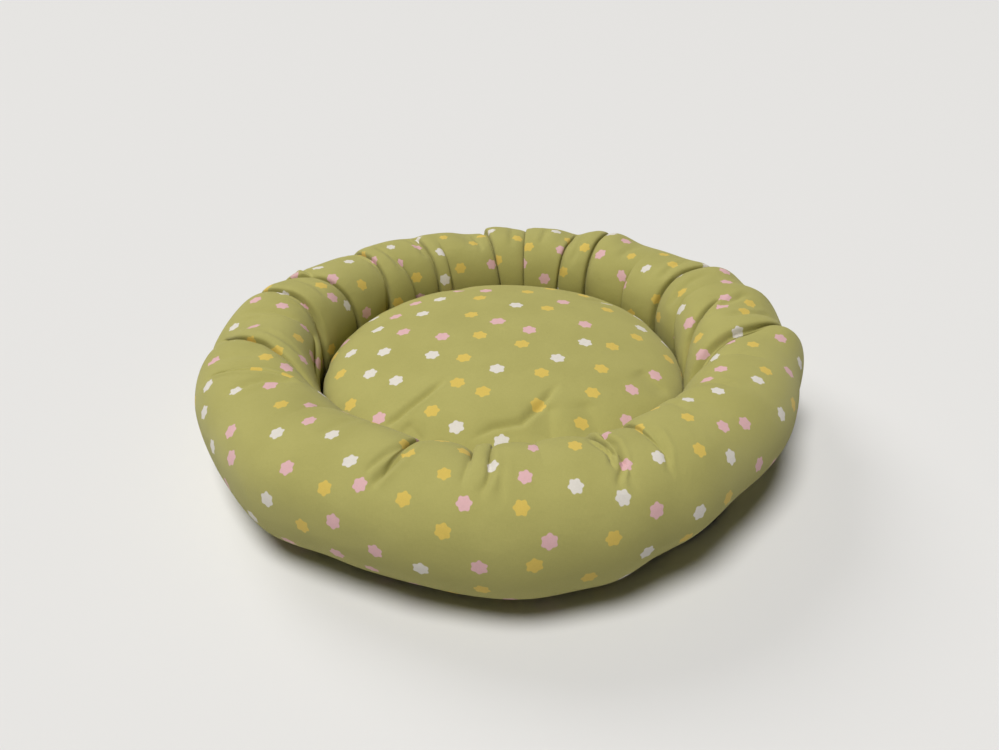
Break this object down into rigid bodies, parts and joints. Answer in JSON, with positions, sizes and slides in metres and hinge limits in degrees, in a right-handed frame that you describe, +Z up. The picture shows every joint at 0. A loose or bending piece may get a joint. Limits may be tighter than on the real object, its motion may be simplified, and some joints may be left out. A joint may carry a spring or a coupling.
{
  "type": "round pet cushion bed",
  "caption": "Round pet bed with a stuffed, gathered ring sewn to a padded base and a loose domed cushion that fills the nest; printed cotton with a non-slip underside.",
  "frame": {"origin": "centre of the underside, on the surface that the bed stands on", "axes": "+Z up; +Y towards the back, where the cushion's zip is; +X to the right"},
  "size_m": [0.6, 0.6, 0.125],
  "materials": {
    "print_cotton": "matte plain-weave cotton in olive-lime with scattered six-petalled flowers in white, pink and yellow",
    "fibre": "loose white polyester fibre",
    "tape": "matte woven tape",
    "grip_cloth": "matte black cloth with small rubbery grip dots",
    "liner_cloth": "thin white non-woven cloth",
    "nylon": "satin nylon coil",
    "zip_metal": "satin nickel"
  },
  "bodies": {
    "bed": {"bolster_cover": "print_cotton", "bolster_fill": "fibre", "gather_tape": "tape", "base_top_panel": "print_cotton", "base_pad": "fibre", "base_bottom_panel": "grip_cloth"},
    "cushion": {"cushion_top_panel": "print_cotton", "cushion_bottom_panel": "print_cotton", "liner_top": "liner_cloth", "liner_bottom": "liner_cloth", "cushion_fill": "fibre", "zip_tape_upper": "tape", "zip_tape_lower": "tape", "zip_coil_upper": "nylon", "zip_coil_lower": "nylon", "zip_stop_closed": "zip_metal", "zip_stop_open": "zip_metal"},
    "zip_slider": {"zip_slider": "zip_metal"},
    "zip_pull": {"zip_pull": "zip_metal"}
  },
  "joints": [
    {"name": "cushion_lift", "type": "slide", "parent": "bed", "child": "cushion", "axis": [0, 0, 1], "range_m": [0, 0.18]},
    {"name": "zip_run", "type": "hinge", "parent": "cushion", "child": "zip_slider", "pos_m": [0, 0, 0.04], "axis": [0, 0, 1], "range_deg": [0, 85]},
    {"name": "pull_swing", "type": "hinge", "parent": "zip_slider", "child": "zip_pull", "pos_m": [0.1212, 0.13227, 0.04], "axis": [0, 0, -1], "range_deg": [0, 170]}
  ]
}
